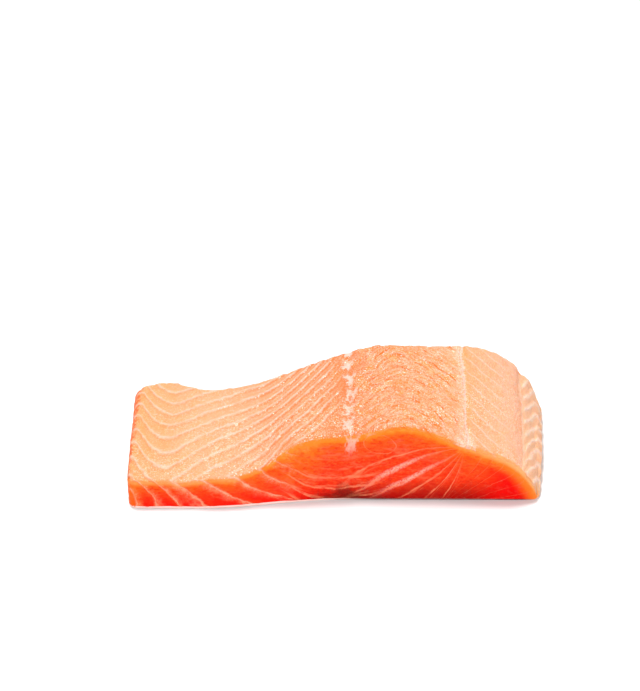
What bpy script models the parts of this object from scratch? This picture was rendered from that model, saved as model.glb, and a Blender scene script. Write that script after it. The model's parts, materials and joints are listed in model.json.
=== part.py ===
"""A raw salmon fillet portion lying on its skin: a slice across the fillet, with two cut faces.

The belly is the thin end at -X and the back of the fish the thick end at +X. The cut face that
shows is at -Y. The shape is a box that is cut into small cells, set to the fillet's outline and
thickness, rounded at its edges, and then given the relief of the muscle flakes.
"""

import math

import bmesh
import bpy
import numpy as np
from mathutils import Matrix, Vector, noise

# Driving dimensions, in metres. X runs from the belly to the back, Y from the front cut face to
# the rear one, both from the front corner of the belly end. Z is the height over the skin.
LENGTH_FRONT = 0.1580
LENGTH_REAR = 0.1650
BELLY_OVERHANG_FRONT = 0.0015
BELLY_OVERHANG_REAR = 0.0040
DEPTH = 0.0575

# Thickness of the belly, the loin and the back edge, at the front cut and at the rear one.
BELLY_HEIGHT_FRONT = 0.0110
BELLY_HEIGHT_REAR = 0.0090
LOIN_HEIGHT_FRONT = 0.0265
LOIN_HEIGHT_REAR = 0.0345
BACK_EDGE_HEIGHT = 0.0022
CROWN_HEIGHT = 0.0008

# Stretches along X: the ramp from belly to loin, the drop past the highest point of the front
# cut, and where the fall to the back edge starts, with the power that it falls by.
RAMP_FRONT = (0.034, 0.076)
RAMP_REAR = (0.030, 0.100)
FRONT_DROP_STRETCH = (0.112, 0.142)
FRONT_DROP = 0.0053
BACK_FALL_FRONT = (0.128, 3.0)
BACK_FALL_REAR = (0.120, 3.3)

# Hills and dips of the top along each cut, as height, place along X and width.
FRONT_HILLS = (
    (0.0046, 0.104, 0.013),
    (0.0010, 0.032, 0.005),
    (-0.0008, 0.0195, 0.004),
    (0.0012, 0.064, 0.006),
    (-0.0008, 0.051, 0.004),
)
REAR_HILLS = (
    (0.0036, 0.009, 0.0095),
    (-0.0010, 0.027, 0.008),
)

# The front cut face bows in from the belly to the loin, and both cut faces lean to the rear.
FRONT_BELLY_Y = -0.0012
FRONT_LOIN_Y = 0.0040
FRONT_BOW_STRETCH = (0.025, 0.085)
FRONT_LEAN_BELLY = 0.27
FRONT_LEAN_BACK = 0.15
FRONT_LEAN_STRETCH = (0.105, 0.150)
REAR_LEAN = 0.15

# Radii of the rim of the top, the rim of the skin and the upright corners.
RIDGE_ROUND = 0.0022
SKIN_EDGE_ROUND = 0.0009
CORNER_FRONT = 0.0030
CORNER_REAR = 0.0052

# The lines between the muscle groups run along Y: their places along X, widths and depths.
PIN_BONE_LINE = 0.0840
PIN_BONE_WIDTH = 0.0019
PIN_BONE_DEPTH = 0.0009
PIN_BONE_WANDER = 0.0012
PIN_BONE_WANDER_LENGTH = 0.006
LOIN_LINE = 0.1290
LOIN_LINE_WIDTH = 0.0018
LOIN_LINE_DEPTH = 0.0004
DORSAL_LINE_FRONT = 0.1500
DORSAL_LINE_REAR = 0.1545
DORSAL_NOTCH_WIDTH = 0.0026
DORSAL_NOTCH_FRONT = 0.0008
DORSAL_NOTCH_REAR = 0.0018

# The flakes of the belly lie in Vs: the tip of one V and its roundness, the spacing of the Vs,
# how they rise to the right of the tips, first steeply and then gently, and to their left.
FLAKE_TIP_X = 0.0125
FLAKE_TIP_Y = 0.0171
FLAKE_TIP_ROUND = 0.003
FLAKE_SPACING_BELLY = 0.0077
FLAKE_SPACING_LOIN = 0.0052
FLAKE_SPACING_STRETCH = (0.012, 0.064)
FLAKE_CROWDING_TO_REAR = 4.0
FLAKE_STEEP_RISE = 0.0165
FLAKE_STEEP_LENGTH = 0.014
FLAKE_GENTLE_SLOPE = 0.17
FLAKE_LEFT_CURVE = 90.0
FLAKE_DEPTH = 0.00055
FLAKE_END_STRETCH = (0.070, 0.084)
FLAKE_START_STRETCH = (-0.001, 0.005)

# Below the ridge of the front cut the same flakes run on, slanting towards the back.
SLANT_BELLY = 0.7
SLANT_LOIN = 1.7
SLANT_STRETCH = (0.010, 0.045)

# On the thick part of the front cut the flakes fan out from one point.
FAN_X = 0.1276
FAN_Z = 0.0238
FAN_ANGLE = math.radians(13.5)
FAN_STRETCH = (0.088, 0.096)
FAN_END_STRETCH = (0.122, 0.127)
FAN_DEPTH = 0.0003

# Crags are rough flesh, the most on top of the loin. Swells are the slow waves of the surface.
CRAG_HEIGHT = 0.0006
CRAG_SIZE = 0.0042
CRAG_SHARE_ELSEWHERE = 0.25
CRAG_STRETCH = (0.084, 0.092)
CRAG_END_STRETCH = (0.122, 0.132)
SWELL_HEIGHT = 0.0005
SWELL_SIZE = 0.018
SKIN_BAND = (0.0008, 0.0035)

# The cells: their usual size, the cuts along every edge, and the rows of the cut faces.
CELL = 0.0022
EDGE_CUTS = (0.0008, 0.0019, 0.0034)
STEEP_END = 0.016
STEEP_CELL = 0.0015
FACE_ROWS = 10
ROW_CROWDING = 1.35

FLESH_COLOR = (0.90, 0.24, 0.09, 1.0)
FLESH_ROUGHNESS = 0.38


def ease(x, start, end):
    """0 before start and 1 after end, with a smooth step between them."""
    t = np.clip((x - start) / (end - start), 0.0, 1.0)
    return t * t * (3.0 - 2.0 * t)


def bump(x, middle, width):
    """A smooth hill of height 1."""
    return np.exp(-(((x - middle) / width) ** 2))


def blend(first, second, share):
    return first + (second - first) * share


def hills(x, rows):
    return sum(height * bump(x, middle, width) for height, middle, width in rows)


def fall_to_back_edge(x, start, power, end):
    """1 over the fillet, falling ever more steeply to 0 at the back edge."""
    return 1.0 - np.clip((x - start) / (end - start), 0.0, 1.0) ** power


def front_ridge_height(x):
    height = blend(BELLY_HEIGHT_FRONT, LOIN_HEIGHT_FRONT, ease(x, *RAMP_FRONT))
    height += hills(x, FRONT_HILLS) - FRONT_DROP * ease(x, *FRONT_DROP_STRETCH)
    return height * fall_to_back_edge(x, *BACK_FALL_FRONT, LENGTH_FRONT)


def rear_ridge_height(x):
    height = blend(BELLY_HEIGHT_REAR, LOIN_HEIGHT_REAR, ease(x, *RAMP_REAR))
    height += hills(x, REAR_HILLS)
    return height * fall_to_back_edge(x, *BACK_FALL_REAR, LENGTH_REAR)


def top_height(x, v):
    """Thickness of the fillet at x, v being 0 at the front cut and 1 at the rear one."""
    between_cuts = 4.0 * v * (1.0 - v) * ease(x, *RAMP_REAR)
    height = blend(front_ridge_height(x), rear_ridge_height(x), v) + CROWN_HEIGHT * between_cuts
    return BACK_EDGE_HEIGHT + height * (1.0 - BACK_EDGE_HEIGHT / LOIN_HEIGHT_REAR)


def front_face_y(x, z):
    lean = blend(FRONT_LEAN_BELLY, FRONT_LEAN_BACK, ease(x, *FRONT_LEAN_STRETCH))
    return blend(FRONT_BELLY_Y, FRONT_LOIN_Y, ease(x, *FRONT_BOW_STRETCH)) + lean * z


def rear_face_y(top, z):
    return DEPTH - REAR_LEAN * (top - z)


def rounded(x, y, z, left, right, corner, top):
    """Round the box: its upright corners first, then the rim of its top and that of its skin."""
    dx = x - np.clip(x, left + corner, right - corner)
    dy = y - np.clip(y, corner, DEPTH - corner)
    reach = np.maximum(abs(dx), abs(dy))
    radius = np.maximum(np.hypot(dx, dy), 1e-9)
    out_x, out_y = dx / radius, dy / radius
    x = x + out_x * (reach - radius) * (reach > 0)
    y = y + out_y * (reach - radius) * (reach > 0)

    ridge = np.minimum(RIDGE_ROUND, 0.45 * top)
    round_off = np.where(z < SKIN_EDGE_ROUND, SKIN_EDGE_ROUND, ridge)
    side = np.clip((reach - corner + round_off) / round_off, 0.0, 1.0)
    up = np.clip((z - top + ridge) / ridge, 0.0, 1.0)
    down = np.clip((SKIN_EDGE_ROUND - z) / SKIN_EDGE_ROUND, 0.0, 1.0)
    tuck = round_off * (1.0 - 1.0 / np.maximum(np.hypot(side, up + down), 1.0))
    return x - out_x * side * tuck, y - out_y * side * tuck, z + (down - up) * tuck


def fillet_points(u, v, w):
    """Places of the box's points, from their fractions along its three sides."""
    left = -blend(BELLY_OVERHANG_FRONT, BELLY_OVERHANG_REAR, v)
    right = blend(LENGTH_FRONT, LENGTH_REAR, v)
    corner = blend(CORNER_FRONT, CORNER_REAR, v)
    x = left + (right - left) * u
    top = top_height(x, v)
    z = top * (1.0 - (1.0 - w) ** ROW_CROWDING)
    x, y, z = rounded(x, DEPTH * v, z, left, right, corner, top)
    y = blend(front_face_y(x, z), rear_face_y(top, z), y / DEPTH)
    return np.stack([x, y, z], axis=1), top


def groove(phase):
    """1 where the phase is a whole number, falling to 0 half-way between."""
    return (0.5 + 0.5 * np.cos(2.0 * math.pi * phase)) ** 2


def flake_phase(x, y):
    """Whole numbers along the lines between the belly flakes, which run in rounded Vs."""
    right = np.hypot(np.maximum(x - FLAKE_TIP_X, 0.0), FLAKE_TIP_ROUND) - FLAKE_TIP_ROUND
    left = np.maximum(FLAKE_TIP_X - x, 0.0)
    rise = FLAKE_STEEP_RISE * (1.0 - np.exp(-right / FLAKE_STEEP_LENGTH))
    rise += FLAKE_GENTLE_SLOPE * right + FLAKE_LEFT_CURVE * left**2
    offset = y - FLAKE_TIP_Y - rise
    spacing = blend(FLAKE_SPACING_BELLY, FLAKE_SPACING_LOIN, ease(x, *FLAKE_SPACING_STRETCH))
    return offset / spacing * (1.0 + FLAKE_CROWDING_TO_REAR * offset)


def fan_phase(x, z):
    """Whole numbers along the lines that fan out over the thick part of the cut face."""
    return np.arctan2(FAN_Z - z, np.maximum(FAN_X - x, 1e-4)) / FAN_ANGLE


def flake_relief(x, y, z, top, facing_front):
    slant = blend(SLANT_BELLY, SLANT_LOIN, ease(x, *SLANT_STRETCH))
    ridge_x = x - slant * np.maximum(top - z, 0.0) * facing_front
    share = ease(x, *FLAKE_START_STRETCH) * (1.0 - ease(ridge_x, *FLAKE_END_STRETCH))
    belly = FLAKE_DEPTH * share * groove(flake_phase(ridge_x, y))
    share = ease(x, *FAN_STRETCH) * (1.0 - ease(x, *FAN_END_STRETCH)) * facing_front
    return -belly - FAN_DEPTH * share * groove(fan_phase(x, z))


def line_relief(x, y, facing_up, facing_front):
    pin_bones = PIN_BONE_LINE + PIN_BONE_WANDER * np.sin(y / PIN_BONE_WANDER_LENGTH)
    out = -PIN_BONE_DEPTH * bump(x, pin_bones, PIN_BONE_WIDTH)
    out -= LOIN_LINE_DEPTH * bump(x, LOIN_LINE, LOIN_LINE_WIDTH) * facing_up
    v = np.clip(y / DEPTH, 0.0, 1.0)
    notch = bump(x, blend(DORSAL_LINE_FRONT, DORSAL_LINE_REAR, v), DORSAL_NOTCH_WIDTH)
    return out - blend(DORSAL_NOTCH_FRONT, DORSAL_NOTCH_REAR, v) * notch * (1.0 - facing_front)


def smooth_noise(points, size):
    return np.array([noise.noise(Vector(point) / size) for point in points])


def rough_relief(points, facing_up):
    x = points[:, 0]
    loin = ease(x, *CRAG_STRETCH) * (1.0 - ease(x, *CRAG_END_STRETCH)) * facing_up
    crags = CRAG_HEIGHT * smooth_noise(points, CRAG_SIZE) * blend(CRAG_SHARE_ELSEWHERE, 1.0, loin)
    return crags + SWELL_HEIGHT * smooth_noise(points, SWELL_SIZE)


def relief(points, normals, top):
    """How far each point of the flesh stands out of the smooth form, or lies below it."""
    x, y, z = points.T
    facing_up = ease(normals[:, 2], 0.2, 0.8)
    facing_front = ease(-normals[:, 1], 0.3, 0.8)
    out = flake_relief(x, y, z, top, facing_front)
    out += line_relief(x, y, facing_up, facing_front)
    out += rough_relief(points, facing_up)
    return out * ease(z, *SKIN_BAND)


def cell_cuts(length, steep_end=0.0):
    """Where a side is cut, as fractions: finer near both ends, and over a steep end."""
    inner_end = length - max(steep_end, EDGE_CUTS[-1])
    count = round((inner_end - EDGE_CUTS[-1]) / CELL)
    inner = np.linspace(EDGE_CUTS[-1], inner_end, count + 1)
    steep = np.arange(inner_end, length - EDGE_CUTS[-1], STEEP_CELL)
    far_edge = [length - cut for cut in EDGE_CUTS]
    return [cut / length for cut in sorted({*EDGE_CUTS, *inner, *steep, *far_edge})]


def box_in_cells(cuts_by_axis):
    """A unit box from the origin, cut through at these fractions along each axis."""
    bm = bmesh.new()
    bmesh.ops.create_cube(bm, size=1.0, matrix=Matrix.Translation((0.5, 0.5, 0.5)))
    for axis, cuts in enumerate(cuts_by_axis):
        normal = Vector.Fill(3, 0.0)
        normal[axis] = 1.0
        for cut in cuts:
            everything = bm.verts[:] + bm.edges[:] + bm.faces[:]
            bmesh.ops.bisect_plane(bm, geom=everything, dist=1e-6, plane_co=normal * cut, plane_no=normal)
    return bm


def set_points(bm, points):
    for vert, point in zip(bm.verts, points):
        vert.co = point
    bm.normal_update()


def fillet_mesh(name):
    rows = [row / FACE_ROWS for row in range(1, FACE_ROWS)]
    bm = box_in_cells((cell_cuts(LENGTH_REAR, STEEP_END), cell_cuts(DEPTH), rows))
    fractions = np.array([vert.co for vert in bm.verts], dtype=float)
    points, top = fillet_points(*fractions.T)
    set_points(bm, points)
    normals = np.array([vert.normal for vert in bm.verts])
    points += normals * relief(points, normals, top)[:, None]

    middle = (points.min(axis=0) + points.max(axis=0)) / 2.0
    points -= (middle[0], middle[1], 0.0)
    set_points(bm, points)
    mesh = bpy.data.meshes.new(name)
    bm.to_mesh(mesh)
    bm.free()
    mesh.shade_smooth()
    return mesh


def flesh_material():
    material = bpy.data.materials.new("raw_salmon_flesh")
    material.use_nodes = True
    shader = material.node_tree.nodes["Principled BSDF"]
    shader.inputs["Base Color"].default_value = FLESH_COLOR
    shader.inputs["Roughness"].default_value = FLESH_ROUGHNESS
    shader.inputs["Metallic"].default_value = 0.0
    return material


def clear_scene():
    for obj in list(bpy.data.objects):
        bpy.data.objects.remove(obj)


def main():
    clear_scene()
    collection = bpy.data.collections.new("raw_salmon_fillet")
    bpy.context.scene.collection.children.link(collection)
    fillet = bpy.data.objects.new("salmon_fillet", fillet_mesh("salmon_fillet"))
    fillet.data.materials.append(flesh_material())
    collection.objects.link(fillet)


main()
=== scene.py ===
"""The looks of a raw salmon fillet portion: dense flesh with its flake lines, and its thin skin.

The flesh has the part's own form in finer cells. Each family of lines in it has a phase, which is
a whole number along its lines, and a share, which is 1 where the family shows and 0 where it
doesn't. The relief follows them, and so do the colours, which read them from the mesh.
"""

import json
import math

import bmesh
import bpy
import numpy as np
from mathutils import Matrix, Vector, noise

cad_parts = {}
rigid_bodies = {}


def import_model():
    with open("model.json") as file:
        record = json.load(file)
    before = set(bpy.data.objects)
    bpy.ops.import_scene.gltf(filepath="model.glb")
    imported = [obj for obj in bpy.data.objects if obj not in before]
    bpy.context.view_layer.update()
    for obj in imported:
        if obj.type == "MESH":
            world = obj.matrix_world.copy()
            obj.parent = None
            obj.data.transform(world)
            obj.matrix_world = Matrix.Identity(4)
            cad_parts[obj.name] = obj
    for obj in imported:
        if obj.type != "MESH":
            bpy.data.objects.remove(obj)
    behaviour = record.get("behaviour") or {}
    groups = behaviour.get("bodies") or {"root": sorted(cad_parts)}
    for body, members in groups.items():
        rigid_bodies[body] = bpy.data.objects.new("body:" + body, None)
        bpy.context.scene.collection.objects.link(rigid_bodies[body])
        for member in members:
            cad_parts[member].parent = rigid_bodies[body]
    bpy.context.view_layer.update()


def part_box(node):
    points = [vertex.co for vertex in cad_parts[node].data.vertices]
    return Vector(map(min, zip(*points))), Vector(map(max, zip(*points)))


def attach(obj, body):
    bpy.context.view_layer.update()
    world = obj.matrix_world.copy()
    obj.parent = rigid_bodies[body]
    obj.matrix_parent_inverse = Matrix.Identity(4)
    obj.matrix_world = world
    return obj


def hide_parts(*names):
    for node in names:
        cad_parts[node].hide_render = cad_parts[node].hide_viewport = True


NODE = "salmon_fillet"

# The fillet's form, in metres, as in the part's source. X runs from the belly to the back, Y from
# the front cut face to the rear one, both from the front corner of the belly end.
LENGTH_FRONT = 0.1580
LENGTH_REAR = 0.1650
BELLY_OVERHANG_FRONT = 0.0015
BELLY_OVERHANG_REAR = 0.0040
DEPTH = 0.0575

# Thickness of the belly, the loin and the back edge, at the front cut and at the rear one.
BELLY_HEIGHT_FRONT = 0.0110
BELLY_HEIGHT_REAR = 0.0090
LOIN_HEIGHT_FRONT = 0.0265
LOIN_HEIGHT_REAR = 0.0345
BACK_EDGE_HEIGHT = 0.0022
CROWN_HEIGHT = 0.0008

# Stretches along X: the ramp from belly to loin, the drop past the highest point of the front
# cut, and where the fall to the back edge starts, with the power that it falls by.
RAMP_FRONT = (0.034, 0.076)
RAMP_REAR = (0.030, 0.100)
FRONT_DROP_STRETCH = (0.112, 0.142)
FRONT_DROP = 0.0053
BACK_FALL_FRONT = (0.128, 3.0)
BACK_FALL_REAR = (0.120, 3.3)

# Hills and dips of the top along each cut, as height, place along X and width.
FRONT_HILLS = (
    (0.0046, 0.104, 0.013),
    (0.0010, 0.032, 0.005),
    (-0.0008, 0.0195, 0.004),
    (0.0012, 0.064, 0.006),
    (-0.0008, 0.051, 0.004),
)
REAR_HILLS = (
    (0.0036, 0.009, 0.0095),
    (-0.0010, 0.027, 0.008),
)

# The front cut face bows in from the belly to the loin, and both cut faces lean to the rear.
FRONT_BELLY_Y = -0.0012
FRONT_LOIN_Y = 0.0040
FRONT_BOW_STRETCH = (0.025, 0.085)
FRONT_LEAN_BELLY = 0.27
FRONT_LEAN_BACK = 0.15
FRONT_LEAN_STRETCH = (0.105, 0.150)
REAR_LEAN = 0.15

# Radii of the rim of the top, the rim of the skin and the upright corners.
RIDGE_ROUND = 0.0022
SKIN_EDGE_ROUND = 0.0009
CORNER_FRONT = 0.0030
CORNER_REAR = 0.0052

# The lines between the muscle groups run along Y: their places along X, and how far the slow wave
# and the quick ripple push them aside.
WAVE_SIZE = 0.011
RIPPLE_SIZE = 0.0035
PIN_BONE_LINE = 0.0840
PIN_BONE_SPACING = 0.0080
PIN_BONE_WAVE = 0.0009
PIN_BONE_SWAY = 0.0006
PIN_BONE_SWAY_LENGTH = 0.0045
LOIN_LINE = 0.1290
LOIN_LINE_WAVE = 0.0014
LOIN_LINE_RIPPLE = 0.0006
LOIN_START = (-0.001, 0.010)
LOIN_END = (-0.004, 0.001)
DORSAL_LINE_FRONT = 0.1500
DORSAL_LINE_REAR = 0.1545
DORSAL_LINE_WAVE = 0.0010
DORSAL_LINE_RIPPLE = 0.0006

# How far the wave and the ripple bend the lines of each family, as shares of their spacing.
BENDS = {
    "flake": (0.12, 0.04),
    "fan": (0.14, 0.0),
    "band": (0.14, 0.0),
    "ring": (0.14, 0.08),
    "tail": (0.14, 0.0),
    "strand": (0.098, 0.0),
    "arc": (0.50, 0.12),
    "back": (0.30, 0.0),
    "rung": (0.12, 0.0),
}

# The belly flakes lie in Vs that turn over at the belly edge.
FLAKE_TIP_X = 0.0125
FLAKE_TIP_Y = 0.0171
FLAKE_TIP_ROUND = 0.003
FLAKE_SPACING_BELLY = 0.0077
FLAKE_SPACING_LOIN = 0.0052
FLAKE_SPACING_STRETCH = (0.012, 0.064)
FLAKE_CROWDING_TO_REAR = 4.0
FLAKE_STEEP_RISE = 0.0165
FLAKE_STEEP_LENGTH = 0.014
FLAKE_GENTLE_SLOPE = 0.17
FLAKE_LEFT_CURVE = 90.0
FLAKE_HOOK_X = 0.0010
FLAKE_HOOK_CURVE = 600.0
FLAKE_RAMP_X = 0.048
FLAKE_RAMP_CURVE = 20.0
FLAKE_END_FRONT = 0.062
FLAKE_END_REAR = 0.073
FLAKE_END_TURN = (0.006, 0.028)
FLAKE_END_LENGTH = 0.011

# The same flakes run on down the front cut, slanting to the back.
FRONT_FLAKE_LEVEL = 0.012
FRONT_FLAKE_TIP_X = 0.0110
FRONT_FLAKE_TIP_PHASE = -1.57
FRONT_FLAKE_SPACING_LEFT = 0.0064
FRONT_FLAKE_SPACING_RIGHT = 0.01255
FRONT_FLAKE_SLANT = 1.35
FRONT_FLAKE_BEND_BELLY = -75.0
FRONT_FLAKE_BEND_LOIN = 60.0
FRONT_FLAKE_BEND_STRETCH = (-0.005, 0.068)
FRONT_FLAKE_END = (0.054, 0.070)

# On the front cut the loin's flakes fan out from one point. The last ones turn more steeply, and
# the first ones lie flatter and closer. Two of them carry thick pale bands.
FAN_X = 0.1276
FAN_Z = 0.0238
FAN_FIRST_ANGLE = math.radians(22.0)
FAN_ANGLE = math.radians(13.2)
FAN_TURN = 9.0
FAN_TURN_REACH = 0.020
FAN_TURN_ANGLES = (math.radians(25.0), math.radians(50.0))
FAN_FLAT = 7.0
FAN_FLAT_REACH = 0.031
FAN_FLAT_ANGLES = (math.radians(22.0), math.radians(32.0))
FAN_CROWDING = 1.3
FAN_START = (0.076, 0.090)
FAN_FIRST_LINE = (-1.5, -1.2)
FAN_LAST_LINE = (4.3, 4.6)
BAND_FIRST_LINE = (-0.6, -0.3)
BAND_LAST_LINE = (1.3, 1.6)
BAND_X = 0.1025
BAND_SHIFT = 0.005
BAND_LENGTH = 0.0095

# Left of the fan there is a ring.
RING_X = 0.0950
RING_Z = 0.0240
RING_SPACING = 0.0053
RING_HEIGHT_FACTOR = 1.3
RING_LENGTH_FACTOR = 0.85
RING_LEAN = 0.3
RING_INNER = (0.15, 0.35)
RING_OUTER = (1.25, 1.45)

# Right of it there is a flatter fan, whose lines hook down at the ridge.
TAIL_X = 0.1170
TAIL_Z = -0.0055
TAIL_FIRST_ANGLE = math.radians(54.0)
TAIL_ANGLE = math.radians(8.0)
TAIL_HOOK = math.radians(7.0)
TAIL_HOOK_DEPTH = 0.0028
TAIL_FIRST_LINE = (-0.6, -0.3)
TAIL_END = (0.148, 0.156)

# Between the belly's flakes and the fan, strands cross the cut: they dip in the middle.
STRAND_LEFT_X = 0.0705
STRAND_LEFT_SLOPE = 0.35
STRAND_LEFT_ROUND = 0.002
STRAND_RIGHT_X = 0.0870
STRAND_RIGHT_SLOPE = 0.18
STRAND_RIGHT_ROUND = 0.003
STRAND_HEIGHT = 0.0092
STRAND_SPACING = 0.0042
STRAND_WAVE = 0.00035
STRAND_WAVE_LENGTH = 0.0022
STRAND_START = (0.056, 0.064)
STRAND_END = (0.088, 0.098)
STRAND_DROP = (0.003, 0.007)

# On top there are cracks in arcs on the loin, lines right of the loin line, and rungs on the
# strip along the back edge.
ARC_X = 0.1035
ARC_SLOPE = 0.95
ARC_ROUND = 0.0070
ARC_SPACING = 0.0052
BACK_SLOPE = 1.2
BACK_CURVE = 25.0
BACK_SPACING = 0.0058
BACK_START = (0.0002, 0.0012)
BACK_END = (-0.014, -0.0005)
RUNG_Y = 0.0038
RUNG_SLOPE = 2.2
RUNG_CURVE = 42.0
RUNG_LENGTH = 0.007
RUNG_SPACING = 0.0063
RUNG_START = (0.0003, 0.0012)

# The wedge of dark muscle at the foot of the loin.
DARK_MUSCLE_X = 0.082
DARK_MUSCLE_LENGTH = 0.017
DARK_MUSCLE_HEIGHT = 0.0050

# Relief of the flakes: the height of each family's steps, and the depth of the loin's cracks.
FLAKE_STEP_BELLY = 0.00022
FLAKE_STEP_RAMP = 0.00050
FLAKE_STEP_STRETCH = (0.020, 0.060)
FLAKE_STEP_START = (-0.003, 0.003)
FLAKE_STEP_ON_FRONT = 0.35
STEP_HEIGHTS = {"fan": 0.00020, "tail": 0.00010, "back": 0.00014}
RUNG_STEP = 0.00035
ARC_STEP = 0.00020
CRACK_DEPTH = 0.00045
CRACK_SHARPNESS = 6

# Relief of the lines between the muscle groups, as place beside the line, width and depth.
PIN_BONE_GROOVE = (0.0, 0.0014)
PIN_BONE_DEPTH = 0.0006
SEAM_HILL = (-0.0012, 0.0011)
SEAM_HILL_HEIGHT = 0.0003
SEAM_GROOVE = (0.0006, 0.0008)
SEAM_GROOVE_DEPTH = 0.0005
NOTCH = (0.0002, 0.0017)
NOTCH_DEPTH_FRONT = 0.0002
NOTCH_DEPTH_REAR = 0.0016

# Rough flesh, as height and grain: two grains together, the most on the loin, then the rim of the
# cuts and the slow swell of the whole surface.
ROUGHNESS = ((0.00060, 0.0027), (0.00040, 0.0013))
ROUGH_ELSEWHERE = 0.22
ROUGH_LOIN_FRONT = 0.65
ROUGH_LOIN_REAR = 0.5
RIM_ROUGHNESS = 0.00030
RIM_GRAIN = 0.0021
RIM_DROP = (0.0008, 0.0030)
SWELL_HEIGHT = 0.00050
SWELL_SIZE = 0.018
SMOOTH_FOOT = (0.0006, 0.0030)

# The cells: their usual size, the cuts along every edge, and how finely each is split.
CELL = 0.0022
EDGE_CUTS = (0.0008, 0.0019, 0.0034)
STEEP_END = 0.016
STEEP_CELL = 0.0015
FACE_ROWS = 10
ROW_CROWDING = 1.35
SPLITS = 3

# The skin's thickness with the fat on it, how far the flesh reaches into it, and how far it
# stands out of the flesh.
SKIN_BELLY = 0.0011
SKIN_LOIN = 0.0006
SKIN_STRETCH = (0.055, 0.085)
SKIN_COVERED = 0.7
SKIN_PROUD = 0.00018
SKIN_RAGGED_SIZE = 0.004
SKIN_UNEVEN = 0.25
SKIN_CLEARANCE = 0.00035
TOP_CLEARANCE = 0.00005

# The camera, as found from the photograph's perspective.
CAMERA_PLACE = (-0.0059, -0.3752, 0.3844)
CAMERA_PITCH = math.radians(49.0)
CAMERA_YAW = math.radians(0.29)
CAMERA_LENS = 69.6

# The lights, which point at the origin: place, size and power.
LIGHTS = {
    "key": ((-0.20, 0.42, 1.15), (0.35, 0.25), 16.0),
    "fill": ((0.12, -0.90, 0.62), (0.9, 0.9), 7.2),
}
WORLD_STRENGTH = 0.35
FLOOR_SIZE = 1.5

# The material works in millimetres.
MM = 1000.0

# All colours are in 0 to 255, as on screen. The top's run along it from belly to back, their
# places given as shares of this length.
TOP_COLOR_LENGTH = 165.0
# Their paleness is partly the top's own tissue and partly painted sheen.
TOP_COLORS = (
    (0.00, (253, 160, 106)),
    (0.12, (253, 170, 128)),
    (0.28, (253, 158, 116)),
    (0.40, (252, 140, 90)),
    (0.52, (252, 120, 68)),
    (0.62, (252, 134, 82)),
    (0.74, (253, 156, 108)),
    (0.80, (254, 165, 121)),
    (0.91, (254, 188, 154)),
    (0.97, (253, 184, 145)),
)
ORANGE_PATCH = (255, 146, 58)
ORANGE_FIBRE = (254, 138, 60)
PALE_FIBRE = (255, 204, 180)
MOTTLE = (255, 212, 180)
SPECK_AND_SPARKLE = (255, 230, 208)
DENT = (248, 132, 56)
BACK_STRIP = (254, 190, 148)
BELLY_EDGE = (236, 96, 46)
CRACK = (250, 126, 40)
GLINT = (255, 248, 232)
PIN_BONE_TISSUE = (255, 216, 204)
SEAM_SHADE = (250, 150, 84)
SEAM_TISSUE = (255, 220, 204)
DORSAL_THREAD = (255, 216, 184)

# The cuts' colours run down from the ridge, their places given as shares of this depth. The orange
# under the ridge is a painted glow, standing for light shining through the thin flesh there.
CUT_COLOR_DEPTH = 14.0
CUT_COLORS = (
    (0.00, (254, 150, 62)),
    (0.16, (254, 116, 26)),
    (0.34, (253, 88, 14)),
    (0.55, (251, 78, 20)),
    (1.00, (249, 56, 14)),
)
CUT_FIBRE = (255, 112, 56)
CUT_MILKY = (255, 122, 88)
CUT_SHADE = (214, 14, 0)
# Painted shade at the foot of the cuts, darkest under the loin.
CUT_FOOT_SHADE_BELLY = (242, 16, 0)
CUT_FOOT_SHADE_LOIN = (172, 2, 0)
CUT_BACK = (236, 4, 0)
CUT_GLOW = (254, 124, 34)
CUT_GLOW_END = (250, 136, 64)
CUT_BELLY_END = (252, 120, 24)
# Painted glow on the rim of the front cut, for light shining through the thin flesh at the ridge.
RIM_GLOW_BELLY = (255, 158, 84)
RIM_GLOW_LOIN = (255, 141, 36)
RIM_GLOW_BACK = (255, 178, 112)
DARK_MUSCLE = (96, 14, 6)

# The lines, and the painted shade in the grooves in front of them.
GROOVE_SHADE = (250, 116, 44)
LINE_ON_TOP = (255, 204, 182)
LINE_ON_CUT = (255, 142, 102)
LINE_ON_STRIP = (255, 221, 203)
BAND = (255, 176, 160)
FEATHER = (255, 140, 98)

# The skin and the floor.
SKIN_UNDER_BELLY = (224, 214, 206)
SKIN_UNDER_BACK = (92, 94, 100)
SKIN_SCALE = (60, 62, 70)
SKIN_EDGE_BELLY = (255, 214, 204)
SKIN_EDGE_LOIN = (130, 62, 54)
SKIN_EDGE_BACK = (244, 178, 152)
SCALE_SIZE = 0.0021
FLOOR_COLORS = ((236, 237, 238), (240, 240, 240))

# The families of pale lines: their half width as a share of their spacing, and their strength.
PALE_LINES = (
    ("flake", 0.120, 1.0),
    ("fan", 0.140, 0.80),
    ("ring", 0.080, 0.60),
    ("tail", 0.070, 0.34),
    ("strand", 0.260, 0.72),
    ("back", 0.085, 0.85),
    ("rung", 0.190, 0.85),
)

# How the lines on the front cut fray: strands to a spacing, how far down they reach, strength.
FEATHERS = (
    ("flake", 9.0, 0.28, 0.30),
    ("fan", 7.0, 0.45, 0.45),
    ("strand", 5.0, 0.60, 0.55),
)
FEATHER_LENGTH = 6.0


def ease(x, start, end):
    """0 before start and 1 after end, with a smooth step between them."""
    t = np.clip((x - start) / (end - start), 0.0, 1.0)
    return t * t * (3.0 - 2.0 * t)


def bump(x, middle, width):
    """A smooth hill of height 1."""
    return np.exp(-(((x - middle) / width) ** 2))


def blend(first, second, share):
    return first + (second - first) * share


def hills(x, rows):
    return sum(height * bump(x, middle, width) for height, middle, width in rows)


def fall_to_back_edge(x, start, power, end):
    """1 over the fillet, falling ever more steeply to 0 at the back edge."""
    return 1.0 - np.clip((x - start) / (end - start), 0.0, 1.0) ** power


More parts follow.
